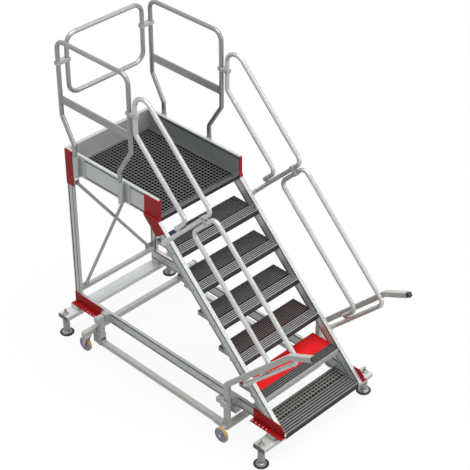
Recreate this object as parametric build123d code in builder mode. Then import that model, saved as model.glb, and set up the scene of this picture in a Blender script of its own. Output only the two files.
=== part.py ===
from build123d import *
import math
import os

os.makedirs("parts", exist_ok=True)

# Mobile platform stair: frame of extruded beams, six grating treads, a guarded
# platform, four screw feet and a lever-worked castor carriage.
# Axes: X across the stair, Y towards the back, Z up, floor at Z 0, all in mm.
# The origin lies on the floor below the middle of the whole stair. Places along Y
# are counted from front_y, the front edge of the lowest tread.

# Stair pitch
front_y = -958.9
tread_count = 6
rise = 208.0
going = 206.0
first_tread_top = 228.0
tread_depth = 253.0
deck_top = first_tread_top + tread_count * rise

# Widths, each measured from the middle of the stair
inner_half = 390.0
beam_wall = 22.0
beam_outer = inner_half + beam_wall
stringer_wall = 30.0
stringer_outer = inner_half + stringer_wall
handrail_stand = 28.0
lever_stand = 45.0
rail_plane = beam_outer + handrail_stand
lever_plane = rail_plane + lever_stand

# Tubes and plates
tube_r = 17.5
tube_bend = 55.0
plate_t = 5.0
square_tube = 40.0
fit_gap = 0.05
side_names = ((-1, "left"), (1, "right"))

# Platform
beam_top = 1630.0
beam_height = 180.0
beam_bottom = beam_top - beam_height
deck_front = front_y + tread_count * going - 8.0
deck_back_at = 2195.0
deck_back = front_y + deck_back_at
beam_back_at = 2226.0
beam_back = front_y + beam_back_at
beam_groove = 3.0
beam_lip = 20.0
deck_thick = 34.0

# Base
rail_bottom = 222.0
rail_height = 93.0
rail_top = rail_bottom + rail_height
upright_depth = 66.0
upright_back = beam_back
upright_front = upright_back - upright_depth
outrigger_height = 42.0
outrigger_width = 105.0
outrigger_over = 93.0
outrigger_half = lever_plane + outrigger_over
outrigger_front_y_at = 82.5
outrigger_front_y = front_y + outrigger_front_y_at
outrigger_rear_y_at = 2192.0
outrigger_rear_y = front_y + outrigger_rear_y_at
outrigger_top = 186.0
outrigger_bottom = outrigger_top - outrigger_height
foot_over = 67.0
foot_x = lever_plane + foot_over

# Side beam of the platform, an upright board with a lip line near each edge
for side, tag in side_names:
    with BuildPart() as platform_beam:
        with BuildSketch(Plane.XZ.offset(-beam_back)):
            with Locations((side * (inner_half + beam_wall / 2), beam_bottom + beam_height / 2)):
                Rectangle(beam_wall, beam_height)
            with Locations(
                (side * beam_outer, beam_bottom + beam_lip),
                (side * beam_outer, beam_top - beam_lip),
            ):
                Rectangle(2 * beam_groove, 2 * beam_groove, mode=Mode.SUBTRACT)
        extrude(amount=beam_back - deck_front)
    platform_beam.part.label = f"platform_beam_{tag}"
    export_step(platform_beam.part, f"parts/platform_beam_{tag}.step")

# Toe board across the back of the platform
toe_board_t = beam_back - deck_back
with BuildPart() as toe_board_rear:
    with BuildSketch(Plane.XY.offset(beam_bottom)):
        with Locations((0, deck_back + toe_board_t / 2)):
            Rectangle(2 * inner_half, toe_board_t)
    extrude(amount=beam_height)
    with BuildSketch(Plane.XZ.offset(-beam_back)):
        with Locations((0, beam_bottom + beam_lip), (0, beam_top - beam_lip)):
            Rectangle(2 * inner_half, 2 * beam_groove)
    extrude(amount=beam_groove, mode=Mode.SUBTRACT)
toe_board_rear.part.label = "toe_board_rear"
export_step(toe_board_rear.part, "parts/toe_board_rear.step")

# Platform deck, a sunk grating panel in a frame with a front lip
deck_frame = 26.0
deck_lip_depth = 42.0
deck_columns = 12
deck_rows = 9
deck_bar = 14.0
deck_length = deck_back - deck_front
deck_open_x = 2 * inner_half - 2 * deck_frame
deck_open_y = deck_length - deck_frame - deck_lip_depth
deck_pitch_x = (deck_open_x + deck_bar) / deck_columns
deck_pitch_y = (deck_open_y + deck_bar) / deck_rows
deck_open_mid = deck_front + deck_lip_depth + deck_open_y / 2
with BuildPart() as platform_deck:
    with BuildSketch(Plane.XY.offset(deck_top - deck_thick)):
        with Locations((0, deck_front + deck_length / 2)):
            Rectangle(2 * inner_half, deck_length)
        with Locations((0, deck_open_mid)):
            with GridLocations(deck_pitch_x, deck_pitch_y, deck_columns, deck_rows):
                Rectangle(deck_pitch_x - deck_bar, deck_pitch_y - deck_bar, mode=Mode.SUBTRACT)
    extrude(amount=deck_thick)
platform_deck.part.label = "platform_deck"
export_step(platform_deck.part, "parts/platform_deck.step")

# Treads, each a grating of long bearing bars tied by short ones, with a deep nosing,
# end plates against the stringers and a chamfered corner under the nosing
tread_thick = 38.0
nosing_drop = 46.0
nosing_depth = 40.0
tread_end = 20.0
tread_back_bar = 14.0
tread_rows = 9
tread_columns = 7
bearing_bar = 9.0
tie_bar = 8.0
tread_open_x = 2 * inner_half - 2 * tread_end
tread_open_y = tread_depth - nosing_depth - tread_back_bar
tread_pitch_x = (tread_open_x + tie_bar) / tread_columns
tread_pitch_y = (tread_open_y + bearing_bar) / tread_rows
tread_open_mid = nosing_depth + tread_open_y / 2
nosing_groove = 5.0
nosing_pitch = 10.0
for number in range(tread_count):
    step_y = front_y + (tread_count - 1 - number) * going
    step_z = first_tread_top + (tread_count - 1 - number) * rise
    with BuildPart() as tread:
        with BuildSketch(Plane.YZ.offset(-inner_half)):
            with BuildLine():
                Polyline(
                    (step_y, step_z),
                    (step_y + tread_depth, step_z),
                    (step_y + tread_depth, step_z - tread_thick),
                    (step_y + nosing_depth, step_z - tread_thick),
                    (step_y + nosing_depth / 3, step_z - nosing_drop),
                    (step_y, step_z - nosing_drop),
                    close=True,
                )
            make_face()
        extrude(amount=2 * inner_half)
        with BuildSketch(Plane.XY.offset(step_z)):
            with Locations((0, step_y + tread_open_mid)):
                with GridLocations(tread_pitch_x, tread_pitch_y, tread_columns, tread_rows):
                    Rectangle(tread_pitch_x - tie_bar, tread_pitch_y - bearing_bar)
        extrude(amount=-nosing_drop, mode=Mode.SUBTRACT)
        with BuildSketch(Plane.XY.offset(step_z)):
            with Locations((0, step_y + nosing_depth / 2)):
                with GridLocations(nosing_pitch, nosing_pitch, 1, 3):
                    Rectangle(tread_open_x, nosing_groove)
        extrude(amount=-nosing_groove / 2, mode=Mode.SUBTRACT)
    tread.part.label = f"tread_{number + 1}"
    export_step(tread.part, f"parts/tread_{number + 1}.step")

# Red warning plate lying on the fifth tread
warn_tread = 5
warn_plate_t = 4.0
warn_y = front_y + (tread_count - warn_tread) * going
warn_z = first_tread_top + (tread_count - warn_tread) * rise
warn_front = 76.0
warn_cut = 46.0
warn_half = inner_half - tread_end / 5
with BuildPart() as tread_plate:
    with BuildSketch(Plane.XY.offset(warn_z)):
        with BuildLine():
            Polyline(
                (-warn_half, warn_y + tread_depth),
                (warn_half, warn_y + tread_depth),
                (warn_half, warn_y + warn_front),
                (-warn_half + warn_cut, warn_y + warn_front),
                (-warn_half, warn_y + warn_front + warn_cut),
                close=True,
            )
        make_face()
    extrude(amount=warn_plate_t)
tread_plate.part.label = "tread_plate"
export_step(tread_plate.part, "parts/tread_plate.step")

# Stringers, leaning beams whose front flange is flush with the tread nosings
stringer_depth = 86.0
stringer_front_c = first_tread_top - front_y
stringer_back_c = stringer_front_c - stringer_depth * math.sqrt(2)
stringer_groove = 3.0
groove_inset = 14.0
for side, tag in side_names:
    with BuildPart() as stringer:
        with BuildSketch(Plane.YZ.offset(side * (inner_half + stringer_wall / 2))):
            with BuildLine():
                Polyline(
                    (rail_bottom - stringer_front_c, rail_bottom),
                    (rail_bottom - stringer_back_c, rail_bottom),
                    (beam_bottom - stringer_back_c, beam_bottom),
                    (beam_bottom - stringer_front_c, beam_bottom),
                    close=True,
                )
            make_face()
        extrude(amount=stringer_wall / 2, both=True)
        with BuildSketch(Plane.YZ.offset(side * stringer_outer)):
            for inset_c in (
                stringer_front_c - groove_inset * math.sqrt(2),
                stringer_back_c + groove_inset * math.sqrt(2),
            ):
                with BuildLine():
                    Polyline(
                        (rail_bottom - inset_c - stringer_groove, rail_bottom),
                        (rail_bottom - inset_c + stringer_groove, rail_bottom),
                        (beam_bottom - inset_c + stringer_groove, beam_bottom),
                        (beam_bottom - inset_c - stringer_groove, beam_bottom),
                        close=True,
                    )
                make_face()
        extrude(amount=-side * stringer_groove, mode=Mode.SUBTRACT)
    stringer.part.label = f"stringer_{tag}"
    export_step(stringer.part, f"parts/stringer_{tag}.step")

# Base rails along both sides, cut to the slope behind the stringers, and the rear
# uprights that stand on them
rail_front = rail_bottom - stringer_back_c
for side, tag in side_names:
    with BuildPart() as base_rail:
        with BuildSketch(Plane.XZ.offset(-upright_back)):
            with Locations((side * (inner_half + beam_wall / 2), rail_bottom + rail_height / 2)):
                Rectangle(beam_wall, rail_height)
            with Locations(
                (side * beam_outer, rail_bottom + rail_height / 4),
                (side * beam_outer, rail_top - rail_height / 4),
            ):
                Rectangle(2 * beam_groove, 2 * beam_groove, mode=Mode.SUBTRACT)
        extrude(amount=upright_back - rail_front)
        with BuildSketch(Plane.YZ.offset(side * inner_half)):
            with BuildLine():
                Polyline(
                    (rail_front, rail_bottom),
                    (rail_top - stringer_back_c, rail_top),
                    (rail_front, rail_top),
                    close=True,
                )
            make_face()
        extrude(amount=side * beam_wall, mode=Mode.SUBTRACT)
    base_rail.part.label = f"base_rail_{tag}"
    export_step(base_rail.part, f"parts/base_rail_{tag}.step")
    with BuildPart() as upright:
        with BuildSketch(Plane.XY.offset(rail_top)):
            with Locations((side * (inner_half + beam_wall / 2), upright_front + upright_depth / 2)):
                Rectangle(beam_wall, upright_depth)
            with Locations(
                (side * beam_outer, upright_front + upright_depth / 4),
                (side * beam_outer, upright_back - upright_depth / 4),
            ):
                Rectangle(2 * beam_groove, 2 * beam_groove, mode=Mode.SUBTRACT)
        extrude(amount=beam_bottom - rail_top)
    upright.part.label = f"upright_{tag}"
    export_step(upright.part, f"parts/upright_{tag}.step")

# Cross members between the side frames: two under the deck, one low at the back
joist = 40.0
low_bar = 30.0
low_bar_z = 338.0
low_bar_y = upright_front + upright_depth / 2
joist_front_y = deck_front + 110.0
joist_rear_y = deck_back - 60.0
joist_z = deck_top - deck_thick - joist / 2
with BuildPart() as cross_members:
    with BuildSketch(Plane.YZ.offset(-inner_half)):
        with Locations((joist_rear_y, joist_z)):
            Rectangle(joist, joist)
        with Locations((joist_front_y, joist_z)):
            Rectangle(joist, joist)
        with Locations((low_bar_y, low_bar_z)):
            Rectangle(low_bar, low_bar)
    extrude(amount=2 * inner_half)
cross_members.part.label = "cross_members"
export_step(cross_members.part, "parts/cross_members.step")

# Crossed braces between the uprights, one in front of the other
brace_r = 13.0
brace_inset = 50.0
brace_half_x = inner_half - brace_inset
brace_low_z = 375.0
brace_high_z = 1300.0
brace_tab_t = 6.0
brace_tab_height = 40.0
brace_tab_reach = 26.0
brace_run = 2 * brace_half_x
brace_climb = brace_high_z - brace_low_z
brace_length = math.hypot(brace_run, brace_climb)
brace_table = ((1, upright_front + 17.0), (-1, upright_back - 17.0))
with BuildPart() as braces:
    for lean, brace_y in brace_table:
        brace_start = Plane(
            origin=(-lean * brace_half_x, brace_y, brace_low_z),
            z_dir=(lean * brace_run, 0, brace_climb),
        )
        with BuildSketch(brace_start):
            Circle(brace_r)
        extrude(amount=brace_length)
        for end_x, end_z in ((-lean, brace_low_z), (lean, brace_high_z)):
            with Locations((end_x * (brace_half_x - brace_tab_reach + inner_half) / 2, brace_y, end_z)):
                Box(inner_half - brace_half_x + brace_tab_reach, brace_tab_t, brace_tab_height)
braces.part.label = "braces"
export_step(braces.part, "parts/braces.step")

# Outrigger beams that carry the screw feet, bored for the spindles, with a pad
# under each base rail
spindle_r = 10.0
spindle_gap = 1.0
pad_length = 74.0
pad_width = 68.0
pad_x = inner_half + 2.0 + pad_length / 2
outrigger_table = (("front", outrigger_front_y), ("rear", outrigger_rear_y))
for tag, beam_y in outrigger_table:
    with BuildPart() as outrigger:
        with BuildSketch(Plane.YZ.offset(-outrigger_half)):
            with Locations((beam_y, outrigger_bottom + outrigger_height / 2)):
                RectangleRounded(outrigger_width, outrigger_height, 5)
        extrude(amount=2 * outrigger_half)
        with BuildSketch(Plane.XY.offset(outrigger_top)):
            with Locations((-pad_x, beam_y), (pad_x, beam_y)):
                Rectangle(pad_length, pad_width)
        extrude(amount=rail_bottom - outrigger_top)
        with BuildSketch(Plane.XY.offset(outrigger_bottom)):
            with Locations((-foot_x, beam_y), (foot_x, beam_y)):
                Circle(spindle_r + spindle_gap)
        extrude(amount=outrigger_height, mode=Mode.SUBTRACT)
    outrigger.part.label = f"outrigger_{tag}"
    export_step(outrigger.part, f"parts/outrigger_{tag}.step")

# Sleeves under the outrigger ends that guide the screw feet
sleeve_r = 27.0
sleeve_bore = 21.0
sleeve_bottom = 50.0
foot_disc_r = 57.0
foot_disc_t = 16.0
stem_r = 20.0
foot_raise = 24.0
stem_top = outrigger_bottom - foot_raise - 6.0
spindle_top = outrigger_top + 46.0
foot_places = (
    (-1, outrigger_front_y, "front_left"),
    (1, outrigger_front_y, "front_right"),
    (-1, outrigger_rear_y, "rear_left"),
    (1, outrigger_rear_y, "rear_right"),
)
with BuildPart() as foot_sleeves:
    with BuildSketch(Plane.XY.offset(sleeve_bottom)):
        for side, foot_y, tag in foot_places:
            with Locations((side * foot_x, foot_y)):
                Circle(sleeve_r)
                Circle(sleeve_bore, mode=Mode.SUBTRACT)
    extrude(amount=outrigger_bottom - sleeve_bottom)
foot_sleeves.part.label = "foot_sleeves"
export_step(foot_sleeves.part, "parts/foot_sleeves.step")

# Screw feet: disc, stem in the sleeve and spindle through the outrigger
for side, foot_y, tag in foot_places:
    with BuildPart() as foot:
        with BuildSketch(Plane.XZ.offset(-foot_y)):
            with BuildLine():
                Polyline(
                    (side * foot_x, 0),
                    (side * foot_x + foot_disc_r - 4, 0),
                    (side * foot_x + foot_disc_r, 5),
                    (side * foot_x + foot_disc_r, 9),
                    (side * foot_x + stem_r + 6, foot_disc_t),
                    (side * foot_x + stem_r, foot_disc_t + 4),
                    (side * foot_x + stem_r, stem_top),
                    (side * foot_x + spindle_r, stem_top),
                    (side * foot_x + spindle_r, spindle_top - 4),
                    (side * foot_x + spindle_r - 4, spindle_top),
                    (side * foot_x, spindle_top),
                    close=True,
                )
            make_face()
        revolve(axis=Axis((side * foot_x, foot_y, 0), (0, 0, 1)))
    foot.part.label = f"foot_{tag}"
    export_step(foot.part, f"parts/foot_{tag}.step")

# Red corner brackets that join rail, stringer or upright to the outriggers
bracket_reach = 50.0
bracket_corner = 40.0
bracket_front_start_at = -16.0
bracket_front_start = front_y + bracket_front_start_at
bracket_front_end_at = 284.0
bracket_front_end = front_y + bracket_front_end_at
bracket_rear_start_at = 1925.0
bracket_rear_start = front_y + bracket_rear_start_at
bracket_rear_end = beam_back
bracket_hole_r = 6.0
bracket_hole_pitch = 34.0
bracket_hole_count = 5
bracket_hole_x = beam_outer + 34.0
bracket_hole_front_at = 205.0
bracket_hole_front = front_y + bracket_hole_front_at
bracket_hole_rear_at = 2050.0
bracket_hole_rear = front_y + bracket_hole_rear_at
bracket_outer = stringer_outer + plate_t
bracket_tip = beam_outer + bracket_reach
with BuildPart() as base_brackets:
    for side, tag in side_names:
        with BuildSketch(Plane.YZ.offset(side * beam_outer)):
            with BuildLine():
                Polyline(
                    (rail_front, rail_bottom),
                    (bracket_front_end, rail_bottom),
                    (bracket_front_end, rail_top),
                    (rail_top - stringer_back_c, rail_top),
                    close=True,
                )
            make_face()
        extrude(amount=side * (bracket_outer - beam_outer))
        with BuildSketch(Plane.YZ.offset(side * stringer_outer)):
            with BuildLine():
                Polyline(
                    (bracket_front_start, rail_bottom),
                    (bracket_front_end, rail_bottom),
                    (bracket_front_end, rail_top),
                    (bracket_front_start + bracket_corner, rail_top),
                    (bracket_front_start, rail_top - bracket_corner),
                    close=True,
                )
            make_face()
        extrude(amount=side * plate_t)
        with BuildSketch(Plane.XY.offset(rail_bottom)):
            with Locations(
                (side * (stringer_outer + bracket_tip) / 2, (bracket_front_start + bracket_front_end) / 2)
            ):
                Rectangle(bracket_tip - stringer_outer, bracket_front_end - bracket_front_start)
            with Locations((side * bracket_hole_x, bracket_hole_front)):
                with GridLocations(0, bracket_hole_pitch, 1, bracket_hole_count):
                    Circle(bracket_hole_r, mode=Mode.SUBTRACT)
        extrude(amount=plate_t)
        with BuildSketch(Plane.YZ.offset(side * beam_outer)):
            with BuildLine():
                Polyline(
                    (bracket_rear_start, rail_bottom),
                    (bracket_rear_end, rail_bottom),
                    (bracket_rear_end, rail_top),
                    (bracket_rear_start, rail_top),
                    close=True,
                )
            make_face()
        extrude(amount=side * plate_t)
        with BuildSketch(Plane.XY.offset(rail_bottom)):
            with Locations(
                (side * (beam_outer + bracket_reach / 2), (bracket_rear_start + bracket_rear_end) / 2)
            ):
                Rectangle(bracket_reach, bracket_rear_end - bracket_rear_start)
            with Locations((side * bracket_hole_x, bracket_hole_rear)):
                with GridLocations(0, bracket_hole_pitch, 1, bracket_hole_count):
                    Circle(bracket_hole_r, mode=Mode.SUBTRACT)
        extrude(amount=plate_t)
base_brackets.part.label = "base_brackets"
export_step(base_brackets.part, "parts/base_brackets.step")

# Red brackets at the platform corners: front ones wrap the beam end and reach
# down onto the stringer, rear ones cover the beam end and the upright
deck_bracket_back_at = 1372.0
deck_bracket_back = front_y + deck_bracket_back_at
leg_front_c = stringer_front_c - 6.0
leg_back_c = beam_bottom - deck_bracket_back
leg_end_s_at = 2545.0
leg_end_s = front_y + leg_end_s_at
leg_back_s = leg_end_s + 20.0
rear_cover_front_at = 2146.0
rear_cover_front = front_y + rear_cover_front_at
rear_cover_low = 1325.0
cover_inset = 6.0
step_high = 24.0
with BuildPart() as deck_brackets:
    for side, tag in side_names:
        with BuildSketch(Plane.YZ.offset(side * beam_outer)):
            with BuildLine():
                Polyline(
                    (deck_front - plate_t, beam_bottom),
                    (deck_bracket_back, beam_bottom),
                    (deck_bracket_back - cover_inset, beam_top - cover_inset),
                    (deck_front - plate_t, beam_top - cover_inset),
                    close=True,
                )
            make_face()
        extrude(amount=side * plate_t)
        with BuildSketch(Plane.YZ.offset(side * beam_outer)):
            with Locations(((deck_front - plate_t + deck_bracket_back) / 2, beam_bottom + step_high / 2)):
                Rectangle(deck_bracket_back - deck_front + plate_t, step_high)
        extrude(amount=side * (bracket_outer - beam_outer))
        with BuildSketch(Plane.YZ.offset(side * stringer_outer)):
            with BuildLine():
                Polyline(
                    (beam_bottom - leg_front_c, beam_bottom),
                    (deck_bracket_back, beam_bottom),
                    ((leg_back_s - leg_back_c) / 2, (leg_back_s + leg_back_c) / 2),
                    ((leg_end_s - leg_front_c) / 2, (leg_end_s + leg_front_c) / 2),
                    close=True,
                )
            make_face()
        extrude(amount=side * plate_t)
        with BuildSketch(Plane.XZ.offset(-deck_front)):
            with Locations(
                (side * (inner_half + beam_wall / 2 + plate_t / 2), (beam_bottom + beam_top - cover_inset) / 2)
            ):
                Rectangle(beam_wall + plate_t, beam_height - cover_inset)
        extrude(amount=plate_t)
        with BuildSketch(Plane.YZ.offset(side * beam_outer)):
            with BuildLine():
                Polyline(
                    (rear_cover_front, rear_cover_low),
                    (upright_back, rear_cover_low),
                    (upright_back, beam_top - cover_inset),
                    (rear_cover_front, beam_top - cover_inset),
                    close=True,
                )
            make_face()
        extrude(amount=side * plate_t)
deck_brackets.part.label = "deck_brackets"
export_step(deck_brackets.part, "parts/deck_brackets.step")

# Guard rail feet: where the legs of the side guards stand, and the pipe line above
leg_front_low_y_at = 1588.0
leg_front_low_y = front_y + leg_front_low_y_at
leg_rear_low_y_at = 2075.0
leg_rear_low_y = front_y + leg_rear_low_y_at
leg_front_high_y_at = 1455.0
leg_front_high_y = front_y + leg_front_high_y_at
leg_rear_high_y_at = 2192.0
leg_rear_high_y = front_y + leg_rear_high_y_at
guard_height = 903.0
kink_low_share = 0.1
kink_high_share = 0.335
kink_low_z = beam_top + kink_low_share * guard_height
kink_high_z = beam_top + kink_high_share * guard_height
guard_top_z = beam_top + guard_height
guard_bend = 72.0
kink_bend = 50.0
guard_foot_z = 1452.0
leg_points = (
    (leg_rear_low_y, guard_foot_z),
    (leg_rear_low_y, kink_low_z),
    (leg_rear_high_y, kink_high_z),
    (leg_rear_high_y, guard_top_z),
    (leg_front_high_y, guard_top_z),
    (leg_front_high_y, kink_high_z),
    (leg_front_low_y, kink_low_z),
    (leg_front_low_y, guard_foot_z),
)

# Sockets on the platform beams, a sleeve and a plate for each guard leg
socket_r = 21.0
socket_top_drop = 2.0
socket_top = beam_top - socket_top_drop
socket_plate_reach = 74.0
socket_plate_low = 1462.0
socket_plate_high_drop = 12.0
socket_plate_high = beam_top - socket_plate_high_drop
with BuildPart() as guard_sockets:
    for side, tag in side_names:
        for leg_y in (leg_front_low_y, leg_rear_low_y):
            with BuildSketch(Plane.YZ.offset(side * beam_outer)):
                with Locations(
                    (leg_y - socket_plate_reach / 2 + socket_r / 2, (socket_plate_low + socket_plate_high) / 2)
                ):
                    Rectangle(socket_plate_reach + socket_r, socket_plate_high - socket_plate_low)
            extrude(amount=side * plate_t)
            with BuildSketch(Plane.XY.offset(guard_foot_z)):
                with Locations((side * rail_plane, leg_y)):
                    Circle(socket_r)
                with Locations((side * (beam_outer + rail_plane) / 2, leg_y)):
                    Rectangle(rail_plane - beam_outer, socket_r)
                with Locations((side * rail_plane, leg_y)):
                    Circle(tube_r + fit_gap, mode=Mode.SUBTRACT)
            extrude(amount=socket_top - guard_foot_z)
guard_sockets.part.label = "guard_sockets"
export_step(guard_sockets.part, "parts/guard_sockets.step")

# Side guards, one bent pipe each with a flat middle rail between the legs
mid_rail_share = 0.48
mid_rail_z = beam_top + mid_rail_share * guard_height
mid_rail_height = 66.0
mid_rail_t = 14.0
for side, tag in side_names:
    with BuildPart() as side_guard:
        with BuildLine() as guard_path:
            FilletPolyline(
                *[(side * rail_plane, point_y, point_z) for point_y, point_z in leg_points[:3]],
                radius=kink_bend,
            )
            FilletPolyline(
                *[(side * rail_plane, point_y, point_z) for point_y, point_z in leg_points[2:6]],
                radius=guard_bend,
            )
            FilletPolyline(
                *[(side * rail_plane, point_y, point_z) for point_y, point_z in leg_points[5:]],
                radius=kink_bend,
            )
        with BuildSketch(Plane(origin=guard_path.line @ 0, z_dir=guard_path.line % 0)):
            Circle(tube_r)
        sweep(path=guard_path.line, transition=Transition.RIGHT)
        with BuildSketch(Plane.XZ.offset(-leg_rear_high_y)):
            with Locations((side * rail_plane, mid_rail_z)):
                RectangleRounded(mid_rail_t, mid_rail_height, mid_rail_t / 3)
        extrude(amount=leg_rear_high_y - leg_front_high_y)
    side_guard.part.label = f"side_guard_{tag}"
    export_step(side_guard.part, f"parts/side_guard_{tag}.step")

# Rear guard, a closed loop of pipe standing between the side guards
loop_inset = 83.0
loop_raise = 5.0
loop_half = rail_plane - loop_inset
loop_low = mid_rail_z + loop_raise
loop_high = guard_top_z + loop_raise / 2
loop_bend = 82.0
with BuildPart() as rear_guard:
    with BuildLine(Plane.XZ.offset(-leg_rear_high_y)) as loop_path:
        FilletPolyline(
            (-loop_half, loop_low),
            (loop_half, loop_low),
            (loop_half, loop_high),
            (-loop_half, loop_high),
            radius=loop_bend,
            close=True,
        )
    with BuildSketch(Plane(origin=loop_path.line @ 0, z_dir=loop_path.line % 0)):
        Circle(tube_r)
    sweep(path=loop_path.line)
rear_guard.part.label = "rear_guard"
export_step(rear_guard.part, "parts/rear_guard.step")

# Stair handrails, four bent pipes: lines up the slope keep z - y, arms keep z + y
rail_upper_c_at = 1138.0
rail_upper_c = rail_upper_c_at - front_y
rail_middle_c_at = 700.0
rail_middle_c = rail_middle_c_at - front_y
arm_foot_c_at = 150.0
arm_foot_c = arm_foot_c_at - front_y
middle_end_c_at = 490.0
middle_end_c = middle_end_c_at - front_y
upper_arm_s_at = 2472.0
upper_arm_s = upper_arm_s_at + front_y
upper_end_s_at = 2527.0
upper_end_s = upper_end_s_at + front_y
upper_back_y_at = 1398.0
upper_back_y = upper_back_y_at + front_y
lower_arm_s_at = 860.0
lower_arm_s = lower_arm_s_at + front_y
lower_end_s_at = 915.0
lower_end_s = lower_end_s_at + front_y
lower_top_s_at = 2415.0
lower_top_s = lower_top_s_at + front_y
arm_slope = -45.0
foot_pad_length = 50.0
foot_pad_width = 46.0
end_tie_length = 30.0
upper_points = (
    ((upper_arm_s - arm_foot_c) / 2, (upper_arm_s + arm_foot_c) / 2),
    ((upper_arm_s - rail_upper_c) / 2, (upper_arm_s + rail_upper_c) / 2),
    (upper_back_y, upper_back_y + rail_upper_c),
    (upper_back_y, upper_back_y + rail_middle_c),
    ((upper_end_s - rail_middle_c) / 2, (upper_end_s + rail_middle_c) / 2),
    ((upper_end_s - middle_end_c) / 2, (upper_end_s + middle_end_c) / 2),
)
lower_points = (
    ((lower_arm_s - arm_foot_c) / 2, (lower_arm_s + arm_foot_c) / 2),
    ((lower_arm_s - rail_upper_c) / 2, (lower_arm_s + rail_upper_c) / 2),
    ((lower_top_s - rail_upper_c) / 2, (lower_top_s + rail_upper_c) / 2),
    ((lower_top_s - rail_middle_c) / 2, (lower_top_s + rail_middle_c) / 2),
    ((lower_end_s - rail_middle_c) / 2, (lower_end_s + rail_middle_c) / 2),
    ((lower_end_s - middle_end_c) / 2, (lower_end_s + middle_end_c) / 2),
)
top_bend = 90.0
upper_bends = (tube_bend, top_bend, tube_bend, tube_bend)
lower_bends = (tube_bend, tube_bend, tube_bend, tube_bend)
handrail_table = (
    ("upper", upper_points, upper_bends, upper_arm_s, upper_end_s),
    ("lower", lower_points, lower_bends, lower_arm_s, lower_end_s),
)
pad_c = arm_foot_c + foot_pad_length / math.sqrt(2)
tie_c = middle_end_c + end_tie_length / math.sqrt(2)
for level, points, bends, arm_s, end_s in handrail_table:
    tie_s = (arm_s + end_s) / 2
    for side, tag in side_names:
        with BuildPart() as handrail:
            with BuildLine() as handrail_path:
                FilletPolyline(
                    *[(side * rail_plane, point_y, point_z) for point_y, point_z in points],
                    radius=bends,
                )
            with BuildSketch(Plane(origin=handrail_path.line @ 0, z_dir=handrail_path.line % 0)):
                Circle(tube_r)
            sweep(path=handrail_path.line)
            with Locations(
                Location(
                    ((side * (stringer_outer + rail_plane) / 2), (arm_s - pad_c) / 2, (arm_s + pad_c) / 2),
                    (arm_slope, 0, 0),
                )
            ):
                Box(rail_plane - stringer_outer, foot_pad_length, foot_pad_width)
            with Locations(
                Location(
                    (side * rail_plane, (tie_s - tie_c) / 2, (tie_s + tie_c) / 2),
                    (arm_slope, 0, 0),
                )
            ):
                Box(tube_r, end_tie_length, (end_s - arm_s) / math.sqrt(2))
        handrail.part.label = f"handrail_{level}_{tag}"
        export_step(handrail.part, f"parts/handrail_{level}_{tag}.step")

# Dark clamps: handrail to side guard, lower to upper handrail, rear to side guard
clamp_wall = 3.5
clamp_length = 26.0
clamp_high_share = 0.67
clamp_high_z = beam_top + clamp_high_share * guard_height
clamp_slope_c_at = 985.0
clamp_slope_c = clamp_slope_c_at - front_y
clamp_loop_share = 0.785
clamp_loop_z = beam_top + clamp_loop_share * guard_height
clamp_wide = 2 * tube_r + 2 * clamp_wall
clamp_span_s = (upper_arm_s - lower_top_s) / math.sqrt(2)
clamp_mid_s = (upper_arm_s + lower_top_s) / 2
with BuildPart() as rail_clamps:
    for side, tag in side_names:
        with BuildSketch(Plane.XY.offset(clamp_high_z)):
            with Locations((side * rail_plane, (upper_back_y + leg_front_high_y) / 2)):
                RectangleRounded(clamp_wide, leg_front_high_y - upper_back_y + clamp_wide, clamp_wall)
            with Locations((side * rail_plane, upper_back_y), (side * rail_plane, leg_front_high_y)):
                Circle(tube_r + fit_gap, mode=Mode.SUBTRACT)
        extrude(amount=clamp_length)
        with BuildSketch(Plane.XY.offset(clamp_loop_z)):
            with Locations((side * (loop_half + rail_plane) / 2, leg_rear_high_y)):
                RectangleRounded(rail_plane - loop_half + clamp_wide, clamp_wide, clamp_wall)
            with Locations((side * loop_half, leg_rear_high_y), (side * rail_plane, leg_rear_high_y)):
                Circle(tube_r + fit_gap, mode=Mode.SUBTRACT)
        extrude(amount=clamp_length)
        slope_clamp = Plane(
            origin=(side * rail_plane, (clamp_mid_s - clamp_slope_c) / 2, (clamp_mid_s + clamp_slope_c) / 2),
            x_dir=(1, 0, 0),
            z_dir=(0, -1, 1),
        )
        with BuildSketch(slope_clamp):
            RectangleRounded(clamp_wide, clamp_span_s + clamp_wide, clamp_wall)
            with Locations((0, clamp_span_s / 2), (0, -clamp_span_s / 2)):
                Circle(tube_r + fit_gap, mode=Mode.SUBTRACT)
        extrude(amount=clamp_length / 2, both=True)
rail_clamps.part.label = "rail_clamps"
export_step(rail_clamps.part, "parts/rail_clamps.step")

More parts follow.
